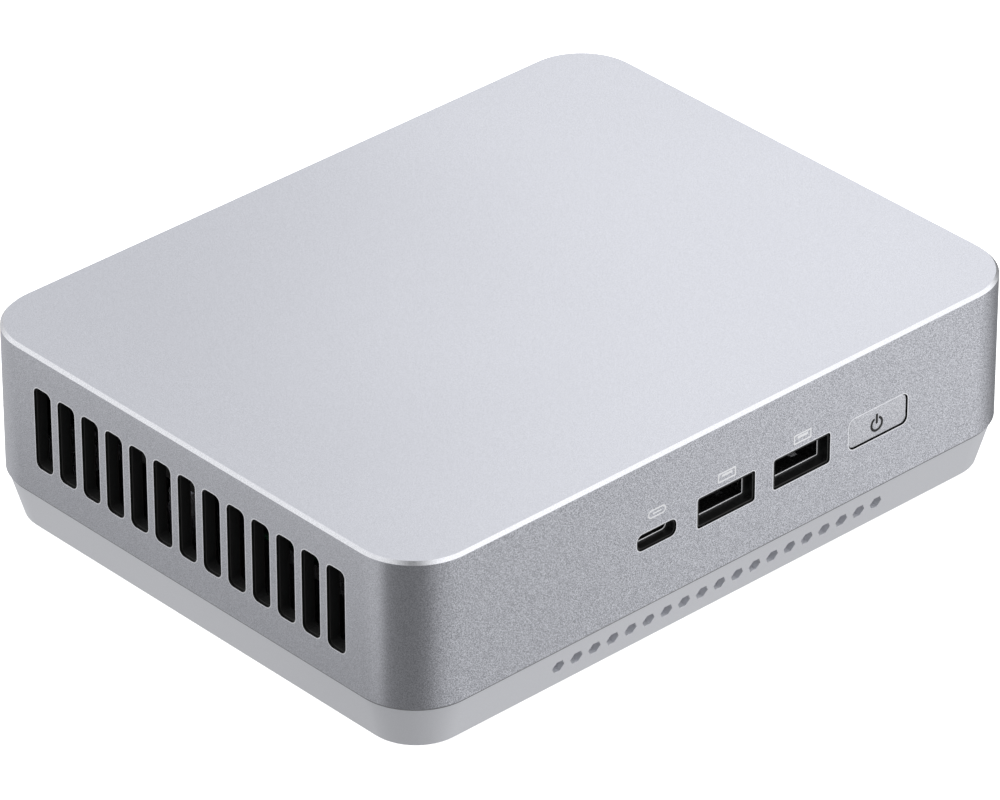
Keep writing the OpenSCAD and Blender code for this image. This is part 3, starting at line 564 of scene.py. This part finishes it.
def liner_object(side, materials):
    """Black liner behind one side's slots: a plate with sleeves that line the slots. The sleeves' outer sides
    and front ends are black, painted shade next to the aluminium edge.
    """
    low, high = box_mm(side + "_vent_liner")
    sign = -1 if side == "left" else 1
    wall = box_mm("top_shell")[1].x
    back = min(abs(low.x), abs(high.x))
    width, height, radius = SLOT_SIZE
    shell = Shell()

    def loop(y, trim, x):
        outline = round_rect(width - 2 * trim, height - 2 * trim, radius - trim, (y, SLOT_Z))
        return [(sign * x, u, v) for u, v in outline]

    plate = [(low.y, low.z), (high.y, low.z), (high.y, high.z), (low.y, high.z)]
    plate_front = wall - WALL_T - PLATE_GAP
    outer_trim = SLEEVE_GAP
    inner_trim = SLEEVE_GAP + SLEEVE_T
    for x, trim in ((plate_front, outer_trim), (back, inner_trim)):
        holes = [[(u, v) for _, u, v in loop(y, trim, x)] for y in slot_places()]
        shell.panel(plate, holes, lambda u, v, x=x: (sign * x, u, v))
    shell.strip([(sign * plate_front, u, v) for u, v in plate], [(sign * back, u, v) for u, v in plate])
    for y in slot_places():
        rings = [loop(y, outer_trim, plate_front), loop(y, outer_trim, wall - SLEEVE_SET_BACK),
                 loop(y, inner_trim, wall - SLEEVE_SET_BACK - SLEEVE_TAPER), loop(y, inner_trim, back)]
        # slot 1 black on the sleeves' outer sides and front ends: painted shade
        for first, second, slot in zip(rings, rings[1:], (1, 1, 0)):
            shell.strip(first, second, slot)
    liner = shell.object(side + "_slot_sleeves", "housing", materials)
    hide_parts(side + "_vent_liner")


# ---------- power button, seam, port marks and socket lips ----------

CAP_SHIFT = (-0.09, 0.09)
CAP_GROW = 0.06
CAP_EDGE = 0.16
CAP_CROWN = 0.06
CAP_SET_BACK = 0.035
# Inset and depth of the two rings that give the cap's face its crown
CAP_FACE = [(0.9, 0.012), (1.8, 0)]
FLANGE_BACK = 1.2
FLANGE_REAR = 0.4
# Dark strip along the seam under the housing's edge: painted shade
SEAM_SHADE_LOW = 0.4
SEAM_SHADE_WIDTH = 0.4
SEAM_SHADE_PROUD = 0.03
SEAM_SHADE_GAP = 0.01
MARK_Z = 30.2
MARK_C_DROP = 0.3
MARK_PROUD = 0.02
MARK_STROKE = 0.3
MARK_C_SIZE = (4.2, 1.7, 0.85)
MARK_C_BAR = (2.0, 0.3)
MARK_A_SIZE = (4.2, 1.9, 0.2)
MARK_A_BAR = (2.5, 0.5)
MARK_A_BAR_RISE = 0.25
LIP_C_SIZE = (8.36, 2.56, 1.0)
LIP_C_DEPTH = 2.14
LIP_A_SIZE = (12.46, 5.06, 0.3)
LIP_A_DEPTH = 2.58
LIP_T = 0.2
LIP_SINK = 0.01


def cap_object(material):
    """Button cap with softly rounded edges and a slightly crowned face, on its stem."""
    low, high = box_mm("power_button")
    width, height, radius = BUTTON_SIZE
    centre = (BUTTON_X + CAP_SHIFT[0], BUTTON_Z + CAP_SHIFT[1])
    shell = Shell()

    def loop(trim, y):
        trim -= CAP_GROW
        outline = round_rect(width - 2 * trim, height - 2 * trim, max(radius - trim, 0.2), centre, 8)
        return [(u, y, v) for u, v in outline]

    edge = arc((CAP_EDGE, CAP_EDGE), CAP_EDGE, 180, 270, 4)
    front = low.y + CAP_SET_BACK
    flange_front, flange_rear = high.y - FLANGE_BACK, high.y - FLANGE_REAR
    rings = [loop(0, flange_front)]
    rings += [loop(trim, front + CAP_CROWN + depth) for trim, depth in edge]
    rings += [loop(CAP_EDGE + trim, front + depth) for trim, depth in CAP_FACE]
    for first, second in zip(rings, rings[1:]):
        shell.strip(first, second)
    shell.face(rings[-1])
    flange = round_rect(*FLANGE_SIZE, (BUTTON_X, BUTTON_Z), 8)
    stem = round_rect(*STEM_SIZE, (BUTTON_X, PORT_Z), 8)
    behind = ((flange, flange_front), (flange, flange_rear), (stem, flange_rear), (stem, high.y))
    levels = [rings[0]] + [[(u, y, v) for u, v in outline] for outline, y in behind]
    for first, second in zip(levels, levels[1:]):
        shell.strip(first, second)
    shell.face(levels[-1])
    cap = shell.object("power_button_cap", "button", (material,), 40)
    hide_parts("power_button")


def seam_shade_object(material):
    """Thin dark strip round the top edge of the base: painted shade where the housing's edge overhangs the
    base.
    """
    low, high = box_mm("top_shell")
    shell = Shell()
    slope = (BASE_IN_LOW - BASE_IN_TOP) / (low.z - BASE_LOW)
    bottom = low.z - SEAM_SHADE_LOW
    top = low.z - SEAM_SHADE_GAP
    outer_low = BASE_IN_TOP + slope * SEAM_SHADE_LOW - SEAM_SHADE_PROUD
    outer_top = BASE_IN_TOP - SEAM_SHADE_PROUD
    inner = BASE_IN_TOP + SEAM_SHADE_WIDTH
    corners = ((outer_low, bottom), (outer_top, top), (inner, top), (inner, bottom))
    rings = [body_ring(high.x, high.y, inset, z) for inset, z in corners]
    for first, second in zip(rings, rings[1:] + rings[:1]):
        shell.strip(first, second)
    shell.object("seam_shade_strip", "base", (material,))


def frame_mark(shell, centre, size, y):
    """Printed outline of a rounded rectangle, a little proud of the face."""
    width, height, radius = size
    narrow = (width - 2 * MARK_STROKE, height - 2 * MARK_STROKE, max(radius - MARK_STROKE, 0.05))
    back = y + 2 * MARK_PROUD
    loops = [round_rect(*sizes, centre, 5) for sizes in (size, narrow)]
    outer, inner = ([[(u, depth, v) for u, v in loop] for depth in (y, back)] for loop in loops)
    shell.strip(outer[0], inner[0])
    shell.strip(outer[0], outer[1])
    shell.strip(inner[0], inner[1])
    shell.strip(outer[1], inner[1])


def bar_mark(shell, centre, width, height, y):
    """Printed bar."""
    out = round_rect(width, height, min(width, height) * 0.3, centre, 3)
    front = [(u, y, v) for u, v in out]
    back = [(u, y + 2 * MARK_PROUD, v) for u, v in out]
    shell.face(front)
    shell.strip(front, back)
    shell.face(back)


def marks_object(material):
    """Plain printed outlines of the sockets, above each of them."""
    shell = Shell()
    y = box_mm("top_shell")[0].y - MARK_PROUD
    frame_mark(shell, (USB_C_X, MARK_Z - MARK_C_DROP), MARK_C_SIZE, y)
    bar_mark(shell, (USB_C_X, MARK_Z - MARK_C_DROP), *MARK_C_BAR, y)
    for x in USB_A_X:
        frame_mark(shell, (x, MARK_Z), MARK_A_SIZE, y)
        bar_mark(shell, (x, MARK_Z + MARK_A_BAR_RISE), *MARK_A_BAR, y)
    shell.object("port_marks", "housing", (material,))


def lips_object(materials):
    """Thin bright lips of the front sockets, set back inside their openings, with dark sides: the lips' faces
    glow, a painted highlight, and their metal sides are near-black, painted shade.
    """
    shell = Shell()
    front = box_mm("top_shell")[0].y
    back = box_mm("usb_a_front_shells")[0].y
    places = [(USB_C_X, LIP_C_SIZE, LIP_C_DEPTH)]
    places += [(x, LIP_A_SIZE, LIP_A_DEPTH) for x in USB_A_X]
    for x, (width, height, radius), depth in places:
        outer = round_rect(width, height, radius, (x, PORT_Z), 8)
        inner = round_rect(width - 2 * LIP_T, height - 2 * LIP_T, radius - LIP_T / 2, (x, PORT_Z), 8)
        face, end = front + depth, back - LIP_SINK
        rings = [[(u, y, v) for u, v in loop] for loop, y in
                 ((outer, end), (outer, face), (inner, face), (inner, end))]
        # slot 0 is the glowing face (painted highlight), slot 1 the dark sides (painted shade)
        for first, second, slot in zip(rings, rings[1:] + rings[:1], (1, 0, 1, 1)):
            shell.strip(first, second, slot)
    shell.object("socket_lips", "housing", materials)


# ---------- small parts under the board ----------

BOARD_LOW = 28.1
PART_CLEAR_LOW = 14.0
PART_CLEAR_REACH = 20
PART_TRIES = 260
PART_MARGIN = 3
PART_PITCH_GAP = 0.9
PART_GAP = 0.35
PART_SINK = 0.01
PART_FLATNESS = 0.05
END_PART = 0.2
END_SWELL = 0.02
# Length, width, height and the middle's material slot: 0 ceramic, 1 solder, 2 black
PART_KINDS = [
    (1.6, 0.8, 0.5, 0),
    (1.0, 0.5, 0.35, 0),
    (1.0, 0.5, 0.3, 2),
    (2.0, 1.2, 0.6, 0),
    (1.6, 0.8, 0.4, 2),
]


def cad_trees():
    """Search tree of each CAD node's faces, in millimetres."""
    trees = []
    for piece in nodes.values():
        points = [piece.matrix_world @ vert.co / MM for vert in piece.data.vertices]
        faces = [tuple(face.vertices) for face in piece.data.polygons]
        trees.append(bvhtree.BVHTree.FromPolygons(points, faces))
    return trees


def board_is_bare(trees, x, y, reach):
    """True where nothing stands below the board within reach of a point."""
    for dx, dy in ((0, 0), (reach, reach), (-reach, reach), (reach, -reach), (-reach, -reach)):
        start = Vector((x + dx, y + dy, PART_CLEAR_LOW))
        rays = (tree.ray_cast(start, Vector((0, 0, 1)), PART_CLEAR_REACH) for tree in trees)
        hits = [hit[0].z for hit in rays if hit[0]]
        if not hits or abs(min(hits) - BOARD_LOW) > PART_FLATNESS:
            return False
    return True


def chip(shell, x, y, kind, turned):
    """Chip part hanging from the board: a body between two solder ends."""
    length, width, height, body = kind
    half, end = length / 2, END_PART * length
    for start, stop, slot in ((-half, end - half, 1), (end - half, half - end, body), (half - end, half, 1)):
        if turned:
            x0, x1, y0, y1 = x - width / 2, x + width / 2, y + start, y + stop
        else:
            x0, x1, y0, y1 = x + start, x + stop, y - width / 2, y + width / 2
        swell = END_SWELL if slot == 1 else 0.0
        base = [(x0, y0), (x1, y0), (x1, y1), (x0, y1)]
        bottom = [(u, v, BOARD_LOW - height - swell) for u, v in base]
        top = [(u, v, BOARD_LOW - PART_SINK) for u, v in base]
        shell.strip(bottom, top, slot)
        shell.face(bottom, slot)
        shell.face(top, slot)


def small_parts_object(materials):
    """Rows of small chip parts soldered in the free areas of the board's underside."""
    dice = random.Random(7)
    low, high = box_mm("mainboard")
    trees = cad_trees()
    shell = Shell()
    placed = []
    for _ in range(PART_TRIES):
        turned = dice.random() < 0.5
        kind = dice.choice(PART_KINDS)
        row = dice.choice((1, 2, 3, 4))
        x = round(dice.uniform(low.x + PART_MARGIN, high.x - PART_MARGIN) * 2) / 2
        y = round(dice.uniform(low.y + PART_MARGIN, high.y - PART_MARGIN) * 2) / 2
        length, pitch = kind[0], kind[1] + PART_PITCH_GAP
        reach = length / 2 + PART_GAP
        for k in range(row):
            px = x + (k * pitch if turned else 0)
            py = y + (0 if turned else k * pitch)
            near = any(max(abs(px - ox), abs(py - oy)) < reach + other for ox, oy, other in placed)
            if not near and board_is_bare(trees, px, py, reach):
                placed.append((px, py, length / 2))
                chip(shell, px, py, kind, turned)
    shell.object("small_board_parts", "housing", materials, 20)


# ---------- carried-over CAD nodes ----------

CREASE = 32
BEVEL_MM = {"base_cover": 0.2, "release_lever": 0.3, "lock_slider": 0.15, "rear_io_panel": 0.12,
            "front_bezel": 0.1, "usb_a_front_shells": 0.13, "usb_c_shells": 0.1}


def shading_group():
    """Node group that welds a mesh and shades it smooth but for its creases."""
    group = bpy.data.node_groups.new("weld and shade", "GeometryNodeTree")
    group.interface.new_socket("Geometry", in_out="INPUT", socket_type="NodeSocketGeometry")
    group.interface.new_socket("Geometry", in_out="OUTPUT", socket_type="NodeSocketGeometry")
    start = group.nodes.new("NodeGroupInput")
    weld = group.nodes.new("GeometryNodeMergeByDistance")
    weld.inputs["Distance"].default_value = 2e-6
    faces = group.nodes.new("GeometryNodeSetShadeSmooth")
    edges = group.nodes.new("GeometryNodeSetShadeSmooth")
    edges.domain = "EDGE"
    angle = group.nodes.new("GeometryNodeInputMeshEdgeAngle")
    smooth = group.nodes.new("FunctionNodeCompare")
    smooth.operation = "LESS_THAN"
    smooth.inputs["B"].default_value = math.radians(CREASE)
    end = group.nodes.new("NodeGroupOutput")
    group.links.new(start.outputs[0], weld.inputs["Geometry"])
    group.links.new(weld.outputs[0], faces.inputs["Geometry"])
    group.links.new(faces.outputs[0], edges.inputs["Geometry"])
    group.links.new(angle.outputs["Unsigned Angle"], smooth.inputs["A"])
    group.links.new(smooth.outputs[0], edges.inputs["Shade Smooth"])
    group.links.new(edges.outputs[0], end.inputs[0])
    return group


def dress(node, material):
    """Material and softened edges on a CAD node; its own mesh stays as it is."""
    piece = nodes[node]
    piece.data.materials.clear()
    piece.data.materials.append(material)
    shade = piece.modifiers.new("weld and shade", "NODES")
    shade.node_group = edge_group
    width = BEVEL_MM.get(node)
    if width:
        flat = piece.modifiers.new("flat faces", "DECIMATE")
        flat.decimate_type = "DISSOLVE"
        flat.angle_limit = math.radians(0.5)
        bevel = piece.modifiers.new("soft edges", "BEVEL")
        bevel.width = width * MM
        bevel.segments = 2
        bevel.limit_method = "ANGLE"
        bevel.angle_limit = math.radians(CREASE)
        bevel.harden_normals = False
        even = piece.modifiers.new("even normals", "WEIGHTED_NORMAL")
        even.keep_sharp = True


# ---------- build ----------

scene.view_settings.view_transform = "Standard"
add_camera()
add_sky()
add_panels()
add_floor()

# Each finish: dark and light tones, grain and patch size in mm, metallic, roughness span, bump strength
# sides: grain contrast on front, sides and lid, painted light that copies how the light falls on each face
aluminium = finish("aluminium_blasted", grey(150, 8), grey(236, 8), 0.15, 60, 1.0, (0.31, 0.37), 0.05,
                   contrast=(0.38, 0.62), sides=(1.05, 0.5, 0.26))
polished = finish("aluminium_cut_edge", grey(222, 5), grey(242, 5), 0.2, 12, 1.0, (0.2, 0.26), 0.02)
raw = finish("aluminium_inside", grey(165, 4), grey(185, 4), 0.8, 25, 1.0, (0.45, 0.6), 0.1)
black = finish("black_plastic", grey(16), grey(26), 0.2, 10, 0.0, (0.4, 0.55), 0.15)
rim = finish("aluminium_rim", grey(236, 6), grey(250, 4), 0.3, 12, 1.0, (0.3, 0.36), 0.02)
liner = finish("liner_plastic", grey(44), grey(56), 0.2, 10, 0.0, (0.4, 0.55), 0.15)
# grey of the seam strip: painted shade under the housing's overhanging edge
seam_shade = finish("seam_painted_shade", grey(140, 5), grey(156, 5), 0.3, 10, 0.0, (0.6, 0.7), 0.1)
mark_ink = finish("mark_ink", grey(248, 4), grey(254, 1), 0.2, 5, 1.0, (0.34, 0.4), 0.02)
# lip face: its light tone and glow=0.3 are a painted highlight; the near-black of its sides below is painted
# shade on the socket metal
lip_painted_glow = finish("socket_lip", grey(236, 3), grey(250, 3), 0.3, 5, 0.3, (0.3, 0.4), 0.02, glow=0.3)
lip_sides_painted_shade = finish("socket_sides_painted_shade", grey(30), grey(42), 0.3, 5, 0.2, (0.4, 0.5), 0.05)
ceramic = finish("chip_ceramic", tone(120, 92, 64), tone(160, 128, 92), 0.3, 4, 0.0, (0.5, 0.6), 0.1)
solder = finish("solder", grey(176), grey(214), 0.25, 3, 1.0, (0.25, 0.35), 0.1)

slot_materials = {
    "housing_aluminium": aluminium,
    "black_plastic": black,
    "base_plastic": finish("base_plastic", grey(234, 6), grey(242, 6), 0.12, 60, 0.0, (0.36, 0.44), 0.05),
    "foot_rubber": finish("foot_rubber", grey(38), grey(56), 0.25, 8, 0.0, (0.7, 0.85), 0.4),
    "sheet_steel": finish("sheet_steel", grey(150, 3), grey(182, 3), 1.2, 14, 1.0, (0.28, 0.42), 0.05,
                          stretch=(1, 8, 1)),
    "screw_steel": finish("screw_steel", grey(105), grey(150), 0.3, 3, 1.0, (0.25, 0.4), 0.08),
    "bare_aluminium": finish("bare_aluminium", grey(190, 2), grey(214, 2), 0.5, 9, 1.0, (0.25, 0.4), 0.06,
                             stretch=(1, 1, 6)),
    "thermal_pad": finish("thermal_pad", tone(120, 140, 160), tone(145, 165, 182), 0.5, 5, 0.0,
                          (0.6, 0.8), 0.3),
    "dark_plastic": finish("dark_plastic", grey(34), grey(52), 0.2, 10, 0.0, (0.45, 0.6), 0.2),
    "board_laminate": finish("board_laminate", tone(10, 40, 28), tone(18, 66, 44), 0.8, 9, 0.0,
                             (0.3, 0.4), 0.2),
    "component_black": finish("component_black", grey(24), grey(40), 0.15, 6, 0.0, (0.4, 0.6), 0.15),
    "socket_metal": finish("socket_metal", grey(184), grey(204), 0.4, 5, 1.0, (0.24, 0.34), 0.04,
                           stretch=(1, 5, 1)),
    "socket_blue": finish("socket_blue", tone(14, 36, 84), tone(26, 56, 120), 0.2, 5, 0.0, (0.35, 0.5), 0.15),
    "gold_plate": finish("gold_plate", tone(200, 150, 70), tone(232, 190, 110), 0.2, 3, 1.0,
                         (0.2, 0.3), 0.05),
    "button_plastic": finish("button_cap", grey(168, 8), grey(238, 6), 0.15, 60, 1.0, (0.33, 0.39), 0.05,
                             contrast=(0.38, 0.62)),
    "symbol_ink": finish("symbol_ink", grey(12), grey(26), 0.1, 2, 0.0, (0.5, 0.6), 0.1),
    "silicon": finish("silicon", tone(60, 64, 74), tone(84, 88, 98), 3.0, 8, 0.6, (0.08, 0.16), 0.02),
    "copper": finish("copper", tone(168, 96, 62), tone(206, 128, 88), 0.8, 8, 1.0, (0.22, 0.38), 0.08,
                     stretch=(4, 1, 1)),
    "lead_jacket": finish("lead_jacket", grey(18), grey(34), 0.3, 6, 0.0, (0.45, 0.6), 0.2),
    "light_plastic": finish("light_plastic", grey(196, -10), grey(216, -12), 0.3, 5, 0.0,
                            (0.4, 0.55), 0.12),
}

# slot 3 gets the black plastic: painted shade on the aluminium walls of the openings
housing_object((aluminium, polished, raw, black, rim))
for side in ("left", "right"):
    liner_object(side, (liner, black))
cap_object(slot_materials["button_plastic"])
seam_shade_object(seam_shade)
marks_object(mark_ink)
lips_object((lip_painted_glow, lip_sides_painted_shade))
small_parts_object((ceramic, solder, slot_materials["component_black"]))

edge_group = shading_group()
for row in frame["record"]["subparts"]:
    dress(row["node"], slot_materials[row["material_slot"]])
